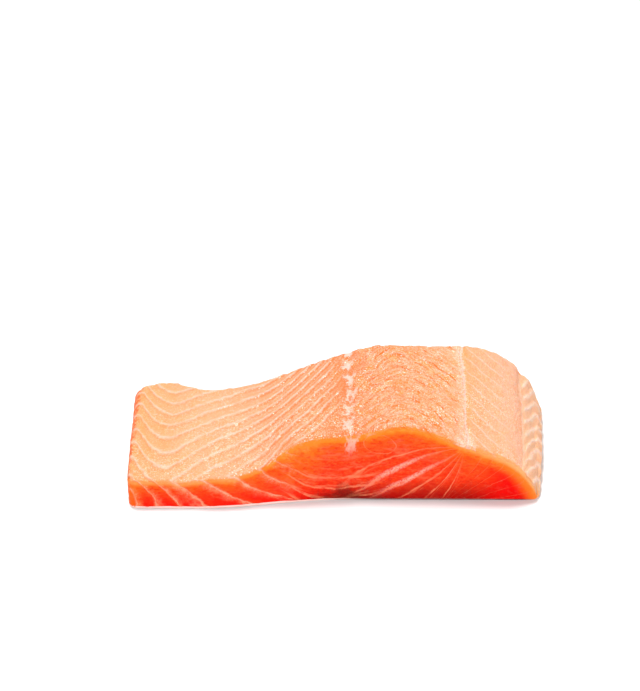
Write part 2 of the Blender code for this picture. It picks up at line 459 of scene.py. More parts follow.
def front_ridge_height(x):
    height = blend(BELLY_HEIGHT_FRONT, LOIN_HEIGHT_FRONT, ease(x, *RAMP_FRONT))
    height += hills(x, FRONT_HILLS) - FRONT_DROP * ease(x, *FRONT_DROP_STRETCH)
    return height * fall_to_back_edge(x, *BACK_FALL_FRONT, LENGTH_FRONT)


def rear_ridge_height(x):
    height = blend(BELLY_HEIGHT_REAR, LOIN_HEIGHT_REAR, ease(x, *RAMP_REAR))
    height += hills(x, REAR_HILLS)
    return height * fall_to_back_edge(x, *BACK_FALL_REAR, LENGTH_REAR)


def top_height(x, v):
    """Thickness of the fillet at x, v being 0 at the front cut and 1 at the rear one."""
    between_cuts = 4.0 * v * (1.0 - v) * ease(x, *RAMP_REAR)
    height = blend(front_ridge_height(x), rear_ridge_height(x), v) + CROWN_HEIGHT * between_cuts
    return BACK_EDGE_HEIGHT + height * (1.0 - BACK_EDGE_HEIGHT / LOIN_HEIGHT_REAR)


def front_face_y(x, z):
    lean = blend(FRONT_LEAN_BELLY, FRONT_LEAN_BACK, ease(x, *FRONT_LEAN_STRETCH))
    return blend(FRONT_BELLY_Y, FRONT_LOIN_Y, ease(x, *FRONT_BOW_STRETCH)) + lean * z


def rear_face_y(top, z):
    return DEPTH - REAR_LEAN * (top - z)


def rounded(x, y, z, left, right, corner, top):
    """Round the box: its upright corners first, then the rim of its top and that of its skin."""
    dx = x - np.clip(x, left + corner, right - corner)
    dy = y - np.clip(y, corner, DEPTH - corner)
    reach = np.maximum(abs(dx), abs(dy))
    radius = np.maximum(np.hypot(dx, dy), 1e-9)
    out_x, out_y = dx / radius, dy / radius
    x = x + out_x * (reach - radius) * (reach > 0)
    y = y + out_y * (reach - radius) * (reach > 0)

    ridge = np.minimum(RIDGE_ROUND, 0.45 * top)
    round_off = np.where(z < SKIN_EDGE_ROUND, SKIN_EDGE_ROUND, ridge)
    side = np.clip((reach - corner + round_off) / round_off, 0.0, 1.0)
    up = np.clip((z - top + ridge) / ridge, 0.0, 1.0)
    down = np.clip((SKIN_EDGE_ROUND - z) / SKIN_EDGE_ROUND, 0.0, 1.0)
    tuck = round_off * (1.0 - 1.0 / np.maximum(np.hypot(side, up + down), 1.0))
    return x - out_x * side * tuck, y - out_y * side * tuck, z + (down - up) * tuck


def fillet_points(u, v, w):
    """Places of the box's points, from their fractions along its three sides."""
    left = -blend(BELLY_OVERHANG_FRONT, BELLY_OVERHANG_REAR, v)
    right = blend(LENGTH_FRONT, LENGTH_REAR, v)
    corner = blend(CORNER_FRONT, CORNER_REAR, v)
    x = left + (right - left) * u
    top = top_height(x, v)
    z = top * (1.0 - (1.0 - w) ** ROW_CROWDING)
    x, y, z = rounded(x, DEPTH * v, z, left, right, corner, top)
    y = blend(front_face_y(x, z), rear_face_y(top, z), y / DEPTH)
    return np.stack([x, y, z], axis=1), top


def groove(phase, sharpness):
    """1 where the phase is a whole number, falling to 0 half-way between."""
    return (0.5 + 0.5 * np.cos(2.0 * math.pi * phase)) ** sharpness


def steps(phase, steep=0.24):
    """Highest just after each whole number, sloping down to the next and rising steeply to it."""
    f = phase - np.floor(phase)
    return np.where(f < 1.0 - steep, 1.0 - f / (1.0 - steep), ease(f, 1.0 - steep, 1.0))


def smooth_noise(points, size):
    """Perlin noise at the points, its grain of this size."""
    return np.array([noise.noise(Vector(point)) for point in points / size])


def skin_thickness(x):
    return blend(SKIN_BELLY, SKIN_LOIN, ease(x, *SKIN_STRETCH))


def flake_phase(x, y):
    """Whole numbers along the lines between the belly flakes, which run in rounded Vs."""
    right = np.hypot(np.maximum(x - FLAKE_TIP_X, 0.0), FLAKE_TIP_ROUND) - FLAKE_TIP_ROUND
    left = np.maximum(FLAKE_TIP_X - x, 0.0)
    hook = np.maximum(FLAKE_HOOK_X - x, 0.0)
    rise = FLAKE_STEEP_RISE * (1.0 - np.exp(-right / FLAKE_STEEP_LENGTH))
    rise += FLAKE_GENTLE_SLOPE * right + FLAKE_LEFT_CURVE * left**2 - FLAKE_HOOK_CURVE * hook**2
    rise += FLAKE_RAMP_CURVE * np.maximum(x - FLAKE_RAMP_X, 0.0) ** 2
    offset = y - FLAKE_TIP_Y - rise
    spacing = blend(FLAKE_SPACING_BELLY, FLAKE_SPACING_LOIN, ease(x, *FLAKE_SPACING_STRETCH))
    return offset / spacing * (1.0 + FLAKE_CROWDING_TO_REAR * offset)


def front_flake_phase(x, z):
    """The same lines on the front cut, down which they run with a slant."""
    below = FRONT_FLAKE_LEVEL - z
    stretch = ease(x, *FRONT_FLAKE_BEND_STRETCH)
    bend = blend(FRONT_FLAKE_BEND_BELLY, FRONT_FLAKE_BEND_LOIN, stretch)
    aside = x - FRONT_FLAKE_SLANT * below - bend * below * abs(below) - FRONT_FLAKE_TIP_X
    spacing = np.where(aside > 0.0, FRONT_FLAKE_SPACING_RIGHT, FRONT_FLAKE_SPACING_LEFT)
    return FRONT_FLAKE_TIP_PHASE - abs(aside) / spacing


class Surface:
    """What the relief and the colours need to know at each point of the flesh."""

    def __init__(self, points, normals, top):
        self.points = points
        self.x, self.y, self.z = points.T
        self.v = np.clip(self.y / DEPTH, 0.0, 1.0)
        self.up = ease(normals[:, 2], 0.25, 0.75)
        self.front = ease(-normals[:, 1], 0.35, 0.80)
        self.cut = 1.0 - ease(normals[:, 2], 0.35, 0.90)
        self.drop = np.maximum(top - self.z, 0.0)
        self.wave = smooth_noise(points, WAVE_SIZE)
        self.ripple = smooth_noise(points, RIPPLE_SIZE)
        self.phases = {}
        self.shares = {}
        self.find_muscle_groups()
        self.add_flakes()
        self.add_fan()
        self.add_ring()
        self.add_tail()
        self.add_strands()
        self.add_top_patterns()

    def add(self, name, phase, share):
        """Keep a family's phase, bent by the wave and the ripple, and its share."""
        wave, ripple = BENDS[name]
        self.phases[name] = phase + wave * self.wave + ripple * self.ripple
        self.shares[name] = share

    def find_muscle_groups(self):
        """How far right of each line between the groups the points are, and which are the loin."""
        sway = PIN_BONE_SWAY * np.sin(self.y / PIN_BONE_SWAY_LENGTH)
        self.pin_bones = self.x - PIN_BONE_LINE - PIN_BONE_WAVE * self.wave - sway
        self.loin_line = self.x - LOIN_LINE
        self.loin_line -= LOIN_LINE_WAVE * self.wave + LOIN_LINE_RIPPLE * self.ripple
        self.dorsal = self.x - blend(DORSAL_LINE_FRONT, DORSAL_LINE_REAR, self.v)
        self.dorsal -= DORSAL_LINE_WAVE * self.wave + DORSAL_LINE_RIPPLE * self.ripple
        self.cut *= 1.0 - (1.0 - self.front) * ease(self.dorsal, 0.0, 0.002)
        self.loin = ease(self.pin_bones, *LOIN_START) * (1.0 - ease(self.loin_line, *LOIN_END))
        self.loin *= self.up

    def add_flakes(self):
        """The belly flakes, fading out where their lines on top and on the cut don't meet."""
        on_top = flake_phase(self.x, self.y)
        on_front = front_flake_phase(self.x, self.z)
        end = blend(FLAKE_END_FRONT, FLAKE_END_REAR, ease(self.y, *FLAKE_END_TURN))
        share_on_top = 1.0 - ease(self.x - end, 0.0, FLAKE_END_LENGTH)
        share_on_front = 1.0 - ease(self.x, *FRONT_FLAKE_END)
        share = blend(share_on_top, share_on_front, self.front)
        apart = ease(abs(on_top - on_front), 0.4, 1.0) * 4.0 * self.front * (1.0 - self.front)
        share *= 1.0 - np.clip(1.5 * apart, 0.0, 1.0)
        self.add("flake", blend(on_top, on_front, self.front), share)

    def add_fan(self):
        below, before = FAN_Z - self.z, FAN_X - self.x
        reach = np.hypot(below, before)
        angle = np.arctan2(below, before)
        angle += FAN_TURN * (reach - FAN_TURN_REACH) * ease(angle, *FAN_TURN_ANGLES)
        angle += FAN_FLAT * (FAN_FLAT_REACH - reach) * (1.0 - ease(angle, *FAN_FLAT_ANGLES))
        fan = (angle - FAN_FIRST_ANGLE) / FAN_ANGLE
        fan = np.where(fan < 0.0, FAN_CROWDING * fan, fan)

        share = self.front * ease(self.x, *FAN_START) * blend(0.4, 1.0, ease(self.z, 0.001, 0.006))
        share *= ease(fan, *FAN_FIRST_LINE) * (1.0 - ease(fan, *FAN_LAST_LINE))
        share *= ease(reach, 0.0, 0.003) * blend(0.4, 1.0, ease(reach, 0.002, 0.006))
        self.add("fan", fan, share)
        thick = ease(fan, *BAND_FIRST_LINE) * (1.0 - ease(fan, *BAND_LAST_LINE))
        thick *= bump(self.x, BAND_X + BAND_SHIFT * fan, BAND_LENGTH)
        self.add("band", fan, share * thick)

    def add_ring(self):
        across, along = self.z - RING_Z, self.x - RING_X
        along = RING_LENGTH_FACTOR * along + RING_LEAN * across
        ring = np.hypot(RING_HEIGHT_FACTOR * across, along) / RING_SPACING
        share = ease(ring, *RING_INNER) * (1.0 - ease(ring, *RING_OUTER))
        self.add("ring", ring, self.front * share)

    def add_tail(self):
        hook = TAIL_HOOK * np.exp(-self.drop / TAIL_HOOK_DEPTH)
        angle = np.arctan2(self.z - TAIL_Z, self.x - TAIL_X)
        tail = (TAIL_FIRST_ANGLE + hook - angle) / TAIL_ANGLE
        share = ease(tail, *TAIL_FIRST_LINE) * (1.0 - ease(self.x, *TAIL_END))
        share *= ease(self.drop, 0.0005, 0.002)
        self.add("tail", tail, self.front * share)

    def add_strands(self):
        left, right = STRAND_LEFT_X - self.x, self.x - STRAND_RIGHT_X
        level = STRAND_HEIGHT + STRAND_WAVE * np.sin(self.x / STRAND_WAVE_LENGTH)
        level += STRAND_LEFT_SLOPE * (left + np.hypot(left, STRAND_LEFT_ROUND))
        level += STRAND_RIGHT_SLOPE * (right + np.hypot(right, STRAND_RIGHT_ROUND))
        share = ease(self.x, *STRAND_START) * (1.0 - ease(self.x, *STRAND_END))
        share *= self.front * ease(self.drop, *STRAND_DROP)
        self.add("strand", (self.z - level) / STRAND_SPACING, share)
        self.shares["strand"] *= 1.0 - 0.75 * ease(self.phases["strand"], 0.3, 0.8)

    def add_top_patterns(self):
        """The arcs on the loin, the lines right of it, and the rungs on the strip at the back."""
        aside = np.hypot(self.x - ARC_X, ARC_ROUND) - ARC_ROUND
        self.add("arc", (self.y + ARC_SLOPE * aside) / ARC_SPACING, self.loin)

        right = np.maximum(self.loin_line, 0.0)
        back = (self.y + BACK_SLOPE * right - BACK_CURVE * right**2) / BACK_SPACING
        share = ease(self.loin_line, *BACK_START) * (1.0 - ease(self.dorsal, *BACK_END))
        self.add("back", back, self.up * share)

        behind = np.clip(self.dorsal, 0.0, RUNG_LENGTH)
        rung = (self.y - RUNG_Y - RUNG_SLOPE * behind + RUNG_CURVE * behind**2) / RUNG_SPACING
        self.add("rung", rung, ease(self.dorsal, *RUNG_START) * (1.0 - self.front))


def flake_relief(s):
    height = blend(FLAKE_STEP_BELLY, FLAKE_STEP_RAMP, ease(s.x, *FLAKE_STEP_STRETCH))
    height *= blend(1.0, FLAKE_STEP_ON_FRONT, s.front) * ease(s.x, *FLAKE_STEP_START)
    out = height * s.shares["flake"] * (steps(s.phases["flake"]) - 0.6)
    for name, height in STEP_HEIGHTS.items():
        out += height * s.shares[name] * (steps(s.phases[name]) - 0.6)
    out += RUNG_STEP * s.shares["rung"] * (steps(-s.phases["rung"], 0.3) - 0.5)
    out += ARC_STEP * s.shares["arc"] * steps(s.phases["arc"] + 0.4)
    crack = s.shares["arc"] * ease(s.ripple, -0.15, 0.35)
    return out - CRACK_DEPTH * crack * groove(s.phases["arc"] + 0.5, CRACK_SHARPNESS)


def line_relief(s):
    """The lines between the muscle groups: grooves, a low hill and the notch before the strip."""
    out = -PIN_BONE_DEPTH * bump(s.pin_bones, *PIN_BONE_GROOVE) * (0.7 + 0.8 * s.ripple)
    out += SEAM_HILL_HEIGHT * bump(s.loin_line, *SEAM_HILL) * s.up
    out -= SEAM_GROOVE_DEPTH * bump(s.loin_line, *SEAM_GROOVE) * s.up
    depth = blend(NOTCH_DEPTH_FRONT, NOTCH_DEPTH_REAR, s.v**4) * (1.0 - s.front)
    return out - depth * bump(s.dorsal, *NOTCH)


def rough_relief(s):
    rough = blend(ROUGH_ELSEWHERE, blend(ROUGH_LOIN_FRONT, ROUGH_LOIN_REAR, s.v), s.loin)
    out = SWELL_HEIGHT * smooth_noise(s.points, SWELL_SIZE)
    for height, grain in ROUGHNESS:
        out += height * rough * smooth_noise(s.points, grain)
    rim = s.cut * (1.0 - ease(s.drop, *RIM_DROP)) + 4.0 * s.cut * (1.0 - s.cut)
    return out + RIM_ROUGHNESS * np.clip(rim, 0.0, 1.0) * smooth_noise(s.points, RIM_GRAIN)


def relief(s):
    """How far each point of the flesh stands out of the smooth form, or lies below it."""
    return (flake_relief(s) + line_relief(s) + rough_relief(s)) * ease(s.z, *SMOOTH_FOOT)


def cell_cuts(length, steep_end=0.0):
    """Where a side is cut, as fractions: finer near both ends, and over a steep end."""
    inner_end = length - max(steep_end, EDGE_CUTS[-1])
    count = round((inner_end - EDGE_CUTS[-1]) / CELL)
    inner = np.linspace(EDGE_CUTS[-1], inner_end, count + 1)
    steep = np.arange(inner_end, length - EDGE_CUTS[-1], STEEP_CELL)
    far_edge = [length - cut for cut in EDGE_CUTS]
    return [cut / length for cut in sorted({*EDGE_CUTS, *inner, *steep, *far_edge})]


def box_in_cells(cuts_by_axis):
    """A unit box from the origin, cut through at these fractions along each axis."""
    bm = bmesh.new()
    bmesh.ops.create_cube(bm, size=1.0, matrix=Matrix.Translation((0.5, 0.5, 0.5)))
    for axis, cuts in enumerate(cuts_by_axis):
        normal = Vector.Fill(3, 0.0)
        normal[axis] = 1.0
        for cut in cuts:
            plane = {"plane_co": normal * cut, "plane_no": normal}
            everything = bm.verts[:] + bm.edges[:] + bm.faces[:]
            bmesh.ops.bisect_plane(bm, geom=everything, dist=1e-6, **plane)
    return bm


def set_points(bm, points):
    for vert, point in zip(bm.verts, points):
        vert.co = point
    bm.normal_update()


def fractions_of(bm):
    """Where the unit box's points are, before they are set to the fillet's form."""
    return np.array([vert.co for vert in bm.verts], dtype=float)


def new_object(name, bm, material):
    mesh = bpy.data.meshes.new(name)
    bm.to_mesh(mesh)
    bm.free()
    mesh.shade_smooth()
    mesh.materials.append(material)
    obj = bpy.data.objects.new(name, mesh)
    bpy.context.scene.collection.objects.link(obj)
    return obj


def store(mesh, name, values):
    """Keep one number for each point, for the material to read."""
    attribute = mesh.attributes.new(name, "FLOAT", "POINT")
    attribute.data.foreach_set("value", np.asarray(values, dtype=np.float32))


def flesh_attributes(s):
    """The values that the flesh's material reads, lengths among them in millimetres."""
    values = {name + "_phase": phase for name, phase in s.phases.items()}
    values.update({name + "_share": share for name, share in s.shares.items()})
    lengths = {
        "drop": s.drop,
        "height": s.z,
        "along": s.x,
        "depth": s.y,
        "pin_bones": s.pin_bones,
        "loin_line": s.loin_line,
        "dorsal": s.dorsal,
    }
    values.update({name: MM * length for name, length in lengths.items()})
    values["cut"] = s.cut
    values["front"] = s.front
    values["loin"] = s.loin
    values["dark_muscle"] = s.z / DARK_MUSCLE_HEIGHT + abs(s.x - DARK_MUSCLE_X) / DARK_MUSCLE_LENGTH
    return values


def fit_into(box, points):
    """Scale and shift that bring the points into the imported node's box, clear of its sides."""
    low, high = np.array(box[0]), np.array(box[1])
    first, last = points.min(axis=0), points.max(axis=0)
    clearance = np.array([2.0 * SKIN_CLEARANCE, 2.0 * SKIN_CLEARANCE, TOP_CLEARANCE])
    scale = np.minimum(1.0, (high - low - clearance) / (last - first * (1.0, 1.0, 0.0)))
    shift = (low + high) / 2.0 - scale * (first + last) / 2.0
    shift[2] = low[2]
    return scale, shift


def flesh(material, box):
    """The flesh: the box's sides and top in fine cells, with one flat face over the skin."""
    rows = [row / FACE_ROWS for row in range(1, FACE_ROWS)]
    bm = box_in_cells((cell_cuts(LENGTH_REAR, STEEP_END), cell_cuts(DEPTH), rows))
    under = [face for face in bm.faces if face.calc_center_median().z < 1e-4]
    bmesh.ops.delete(bm, geom=under, context="FACES")
    bmesh.ops.subdivide_edges(bm, edges=bm.edges[:], cuts=SPLITS, use_grid_fill=True)
    rim = [edge for edge in bm.edges if edge.is_boundary]
    bmesh.ops.contextual_create(bm, geom=rim)

    points, top = fillet_points(*fractions_of(bm).T)
    set_points(bm, points)
    normals = np.array([vert.normal for vert in bm.verts])
    surface = Surface(points, normals, top)
    points += normals * relief(surface)[:, None]
    points[:, 2] = np.maximum(points[:, 2], SKIN_COVERED * skin_thickness(points[:, 0]))

    scale, shift = fit_into(box, points)
    set_points(bm, points * scale + shift)
    obj = new_object("salmon_flesh", bm, material)
    for name, values in flesh_attributes(surface).items():
        store(obj.data, name, values)
    return obj, scale, shift


def skin(material, scale, shift):
    """The skin: a thin sheet under the flesh that shows as a pale line round its foot."""
    bm = box_in_cells((cell_cuts(LENGTH_REAR), cell_cuts(DEPTH), (0.5,)))
    u, v, w = fractions_of(bm).T
    points, _ = fillet_points(u, v, np.zeros_like(w))
    outward = np.zeros_like(points)
    outward[:, 0] = (u > 1.0 - 1e-5).astype(float) - (u < 1e-5)
    outward[:, 1] = (v > 1.0 - 1e-5).astype(float) - (v < 1e-5)
    ragged = smooth_noise(points, SKIN_RAGGED_SIZE)
    proud = SKIN_PROUD * (0.5 + np.sin(math.pi * w) * (0.5 + 0.5 * ragged))
    points += outward * proud[:, None]
    points[:, 2] = w * skin_thickness(points[:, 0]) * (1.0 + SKIN_UNEVEN * ragged)
    attributes = {"along": MM * points[:, 0], "edge": abs(outward).sum(axis=1) > 0.0}
    set_points(bm, points * scale + shift)
    obj = new_object("salmon_skin", bm, material)
    for name, values in attributes.items():
        store(obj.data, name, values)
    return obj


def linear(red, green, blue):
    """A colour given in 0 to 255 as on screen, in the linear values of a shader."""
    def channel(value):
        value /= 255.0
        return value / 12.92 if value <= 0.04045 else ((value + 0.055) / 1.055) ** 2.4

    return (channel(red), channel(green), channel(blue), 1.0)


class Value:
    """A number that the shader works out at each point. Its sums and products are Math nodes."""

    def __init__(self, nodes, socket):
        self.nodes = nodes
        self.socket = socket

    def __add__(self, other):
        return self.nodes.math("ADD", self, other)

    def __sub__(self, other):
        return self.nodes.math("SUBTRACT", self, other)

    def __rsub__(self, other):
        return self.nodes.math("SUBTRACT", other, self)

    def __mul__(self, other):
        return self.nodes.math("MULTIPLY", self, other)

    def __truediv__(self, other):
        return self.nodes.math("DIVIDE", self, other)

    def __abs__(self):
        return self.nodes.math("ABSOLUTE", self)

    __radd__ = __add__
    __rmul__ = __mul__

    def larger(self, other):
        return self.nodes.math("MAXIMUM", self, other)

    def fraction(self):
        return self.nodes.math("FRACT", self)

    def step(self, start, end, low=0.0, high=1.0):
        """A smooth step from low at the start to high at the end, which may be the smaller one."""
        levels = {"To_Min": low, "To_Max": high}
        node = self.nodes.node("MapRange", Value=self, From_Min=start, From_Max=end, **levels)
        node.interpolation_type = "SMOOTHSTEP"
        return Value(self.nodes, node.outputs["Result"])

    def between(self, low, high):
        """Low where this share is 0 and high where it is 1."""
        return self.step(0.0, 1.0, low, high)


class Nodes:
    """A material, with short names for the shader nodes that the materials here are made of."""

    def __init__(self, name):
        self.material = bpy.data.materials.new(name)
        self.material.use_nodes = True
        self.tree = self.material.node_tree
        self.place = self.node("TexCoord").outputs["Object"]

    def put(self, value, socket):
        """Link or set an input."""
        if isinstance(value, Value):
            value = value.socket
        if isinstance(value, bpy.types.NodeSocket):
            self.tree.links.new(value, socket)
        elif socket.type == "RGBA":
            socket.default_value = linear(*value)
        else:
            socket.default_value = value

    def set(self, node, **values):
        for name, value in values.items():
            self.put(value, node.inputs[name.replace("_", " ")])

    def node(self, kind, **values):
        node = self.tree.nodes.new("ShaderNode" + kind)
        self.set(node, **values)
        return node

    def shade(self, **values):
        """Set the shader's inputs, and give the material."""
        self.set(self.tree.nodes["Principled BSDF"], **values)
        return self.material

    def read(self, name):
        """A value that the mesh keeps for each point."""
        node = self.node("Attribute")
        node.attribute_name = name
        return Value(self, node.outputs["Fac"])

    def math(self, operation, *values, clamp=False):
        node = self.node("Math")
        node.operation = operation
        node.use_clamp = clamp
        for value, socket in zip(values, node.inputs):
            self.put(value, socket)
        return Value(self, node.outputs["Value"])

    def mix(self, share, first, second):
        """The first colour where the share is 0, and the second where it is 1."""
        node = self.node("Mix")
        node.data_type = "RGBA"
        colors = [socket for socket in node.inputs if socket.type == "RGBA"]
        for value, socket in zip((share, first, second), (node.inputs[0], *colors)):
            self.put(value, socket)
        return [socket for socket in node.outputs if socket.type == "RGBA"][0]

    def ramp(self, value, stops):
        """The colour at this value, between stops that each have a place and a colour."""
        node = self.node("ValToRGB", Fac=value)
        elements = node.color_ramp.elements
        while len(elements) < len(stops):
            elements.new(0.5)
        for element, (place, color) in zip(elements, stops):
            element.position = place
            element.color = linear(*color)
        return node.outputs["Color"]

    def noise_at(self, place, scale, detail, roughness):
        """Noise from 0 to 1, about a half in the middle."""
        settings = {"Vector": place, "Scale": scale, "Detail": detail, "Roughness": roughness}
        return Value(self, self.node("TexNoise", **settings).outputs["Fac"])

    def noise(self, size, detail=2.0, roughness=0.5, stretch=(1.0, 1.0, 1.0)):
        """Noise on the object, its grain of this size in metres and drawn out by these factors."""
        shrink = [1.0 / factor for factor in stretch]
        place = self.node("Mapping", Vector=self.place, Scale=shrink).outputs["Vector"]
        return self.noise_at(place, 1.0 / size, detail, roughness)

    def cells(self, size):
        """How far each point is from the middle of the nearest of many cells of this size."""
        node = self.node("TexVoronoi", Vector=self.place, Scale=1.0 / size)
        return Value(self, node.outputs["Distance"])

    def bump(self, height, distance):
        return self.node("Bump", Height=height, Distance=distance).outputs["Normal"]


def off_line(phase):
    """How far this phase is from the nearest line, from 0 to a half."""
    return 0.5 - abs(phase.fraction() - 0.5)


class Flesh(Nodes):
    """The flesh's material, painted in layers.

    Places along the fillet, depths and heights are in millimetres here, and the grain of noise is
    in metres. The wobble and the fray are noise about 0 that roughens edges and lines.
    """

    def __init__(self):
        super().__init__("moist_salmon_flesh")
        self.along = self.read("along")
        self.depth = self.read("depth")
        self.drop = self.read("drop")
        self.cut = self.read("cut")
        self.front = self.read("front")
        self.loin = self.read("loin")
        self.on_ramp = self.along.step(30.0, 60.0)
        self.wobble = self.noise(0.0026, 3.0, 0.6) - 0.5
        self.fray = self.noise(0.0008, 2.0, 0.6) - 0.5
        lean = 0.34 * self.wobble + 0.16 * self.fray
        self.lean = lean * self.front.step(0.2, 0.8, 1.0, 0.55)
        self.flake_share = self.read("flake_share")
        self.past_flake = self.phase("flake").fraction()
        self.edge = self.soft_edge()
        self.groove = self.groove_mask()
        self.lines = self.line_mask()
        self.crack = self.crack_mask()

    def phase(self, name):
        """A family's phase, leaning to and fro so that its lines aren't too smooth."""
        return self.read(name + "_phase") + self.lean

    def fibres(self, name, count, length):
        """Streaks along the lines of a family: this many to a spacing, and this long."""
        place = {"X": self.read(name + "_phase") * count, "Y": self.along / length}
        return self.noise_at(self.node("CombineXYZ", **place).outputs["Vector"], 1.0, 2.0, 0.6)

    def soft_edge(self):
        """0 on top and 1 on the cuts. Between them lies a soft edge, with a tooth at each flake."""
        tooth = 0.70 * (self.past_flake - 0.5) * self.flake_share
        return (self.cut + tooth + 0.6 * self.wobble).step(0.25, 1.0)

    def groove_mask(self):
        """The groove in front of each flake line, the most on the ramp; the bump sinks it, and its
        colour is painted shade.
        """
        groove = self.past_flake.step(0.60, 0.86) * self.past_flake.step(0.99, 0.93)
        return groove * self.flake_share * self.on_ramp.between(0.22, 0.55)

    def line_mask(self):
        """The pale lines, broken here and there, with a fainter one between two on the ramp."""
        half_way = off_line(2.0 * self.phase("flake")).step(0.20, 0.05)
        lines = 0.40 * half_way * self.flake_share * self.on_ramp * self.edge.step(0.5, 0.1)
        for name, width, strength in PALE_LINES:
            far = self.edge.between(width * 1.6, width * 0.65)
            line = off_line(self.phase(name)).step(far, width * 0.1)
            lines = lines.larger(line * self.read(name + "_share") * strength)
        thinnest = self.edge.between(0.55, 0.25)
        return lines * self.noise(0.004, 2.0).step(0.34, 0.60, thinnest, 1.0)

    def crack_mask(self):
        """The open cracks along the arcs on top of the loin."""
        crack = off_line(self.phase("arc") + 0.5).step(0.10, 0.02)
        return crack * self.noise(0.005, 2.0).step(0.46, 0.56) * self.read("arc_share")

    def top_color(self):
        """The top: peach, paler than the cuts partly from its own tissue and partly from painted
        sheen, more orange towards the loin, mottled and grainy.
        """
        along, loin = self.along, self.loin
        color = self.ramp(along / TOP_COLOR_LENGTH, TOP_COLORS)
        patch = self.noise(0.0048, 2.0).step(0.53, 0.63)
        color = self.mix(patch * loin.between(0.20, 0.60), color, ORANGE_PATCH)
        orange = self.noise(0.0008, 3.0, 0.7) + 2.0 * self.fibres("arc", 2.6, 9.0)
        color = self.mix(0.60 * orange.step(1.50, 1.76) * loin, color, ORANGE_FIBRE)
        pale = self.noise(0.0007, 3.0, 0.7) + 1.2 * self.fibres("arc", 6.0, 5.0)
        color = self.mix(0.52 * pale.step(1.00, 1.30) * loin, color, PALE_FIBRE)

        grain = self.grain_strength()
        mottle = self.noise(0.0012, 3.0, 0.7).step(0.50, 0.66)
        color = self.mix(mottle * grain * loin.between(0.50, 0.20), color, MOTTLE)
        # Pale specks of the grain, partly painted sparkle of the wet surface.
        speck_and_sparkle = self.noise(0.00056, 1.0).step(0.56, 0.66)
        color = self.mix(speck_and_sparkle * grain * loin.between(0.85, 0.40), color, SPECK_AND_SPARKLE)
        dent = self.noise(0.00058, 1.0).step(0.45, 0.34)
        color = self.mix(dent * grain * loin.between(0.68, 0.48), color, DENT)

        color = self.mix(0.85 * self.read("dorsal").step(0.0, 1.0), color, BACK_STRIP)
        ragged = along + 9.0 * self.noise(0.0016, 3.0, 0.7)
        return self.mix(ragged.step(4.2, 2.0, 0.0, 0.85), color, BELLY_EDGE)

    def grain_strength(self):
        """How grainy the top is: calmer in patches, at both ends and to the rear of the belly."""
        rough_patch = self.noise(0.016, 1.0).step(0.38, 0.58)
        grain = self.loin * rough_patch.between(0.50, 0.80) + 0.45 * rough_patch
        grain = self.math("ADD", grain, 0.35, clamp=True)
        grain *= self.along.step(4.0, 40.0, 0.70, 1.0) * self.along.step(134.0, 128.0, 0.80, 1.0)
        return grain * self.depth.step(50.0, 22.0, self.loin.between(0.55, 1.0), 1.1)

    def cut_color(self):
        """The cut faces: orange under the ridge, a painted glow of light through the thin flesh,
        then red, with painted shade deepest at the foot of the loin.
        """
        along, drop, wobble = self.along, self.drop, self.wobble
        on_lobe = abs(along - 65.0).step(12.0, 4.0, 1.0, 0.40)
        towards_back = along.step(118.0, 140.0, 1.0, 0.60)
        depth = drop * on_lobe * along.step(30.0, 55.0, 1.45, 1.15) * towards_back
        color = self.ramp((depth + 5.0 * wobble) / CUT_COLOR_DEPTH, CUT_COLORS)

        fibre = self.noise(0.0008, 3.0, 0.7, (2.2, 1.0, 1.0)).step(0.47, 0.63)
        color = self.mix(0.32 * fibre, color, CUT_FIBRE)
        milky = self.noise(0.0036, 3.0, 0.65, (2.6, 1.0, 0.8)).step(0.48, 0.66)
        milky *= drop.step(2.0, 5.0) * along.step(40.0, 60.0) * along.step(125.0, 105.0)
        color = self.mix(0.42 * milky, color, CUT_MILKY)
        shade = self.noise(0.0009, 3.0, 0.7, (2.5, 1.0, 1.0)).step(0.50, 0.38)
        color = self.mix(0.46 * shade, color, CUT_SHADE)

        # Painted shade: the cuts darken towards their foot, most under the loin.
        foot_shade_height = along.step(20.0, 90.0, 10.0, 12.0)
        foot = (self.read("height") + 4.0 * wobble).step(foot_shade_height, 0.5)
        foot_shade_color = self.mix(along.step(60.0, 90.0), CUT_FOOT_SHADE_BELLY, CUT_FOOT_SHADE_LOIN)
        color = self.mix(foot, color, foot_shade_color)
        color = self.mix(along.step(128.0, 146.0) * drop.step(3.0, 8.0), color, CUT_BACK)
        glow = along + 8.0 * wobble - 2.0 * drop
        color = self.mix(0.9 * glow.step(124.0, 147.0), color, CUT_GLOW)
        color = self.mix(0.7 * glow.step(144.0, 156.0), color, CUT_GLOW_END)
        belly_end = (along + 4.0 * wobble).step(6.0, -1.0)
        return self.mix(0.6 * belly_end, color, CUT_BELLY_END)

    def paint_rim_glow(self, color):
        """The bright orange rim of the front cut: a painted glow that stands for light shining
        through the thin flesh at the ridge.
        """
        ragged = self.cut + self.wobble + 0.8 * self.fray
        rim = ragged.step(-0.05, 0.28) * self.drop.step(3.2, 0.8) * self.front
        rim_glow_color = self.mix(self.along.step(20.0, 60.0), RIM_GLOW_BELLY, RIM_GLOW_LOIN)
        rim_glow_color = self.mix(self.along.step(116.0, 150.0), rim_glow_color, RIM_GLOW_BACK)
        return self.mix(0.88 * rim, color, rim_glow_color)

    def paint_lines(self, color):
        """The painted shade in the grooves, and then the pale lines, which are whiter on the strip
        at the back.
        """
        color = self.mix(self.groove * self.edge.step(0.3, 0.8, 1.0, 0.35), color, GROOVE_SHADE)
        line_color = self.mix(self.edge, LINE_ON_TOP, LINE_ON_CUT)
        on_strip = self.read("dorsal").step(0.0, 1.0) * self.edge.step(0.5, 0.1)
        line_color = self.mix(on_strip, line_color, LINE_ON_STRIP)
        return self.mix(self.lines * self.along.step(10.0, 60.0, 0.66, 0.85), color, line_color)

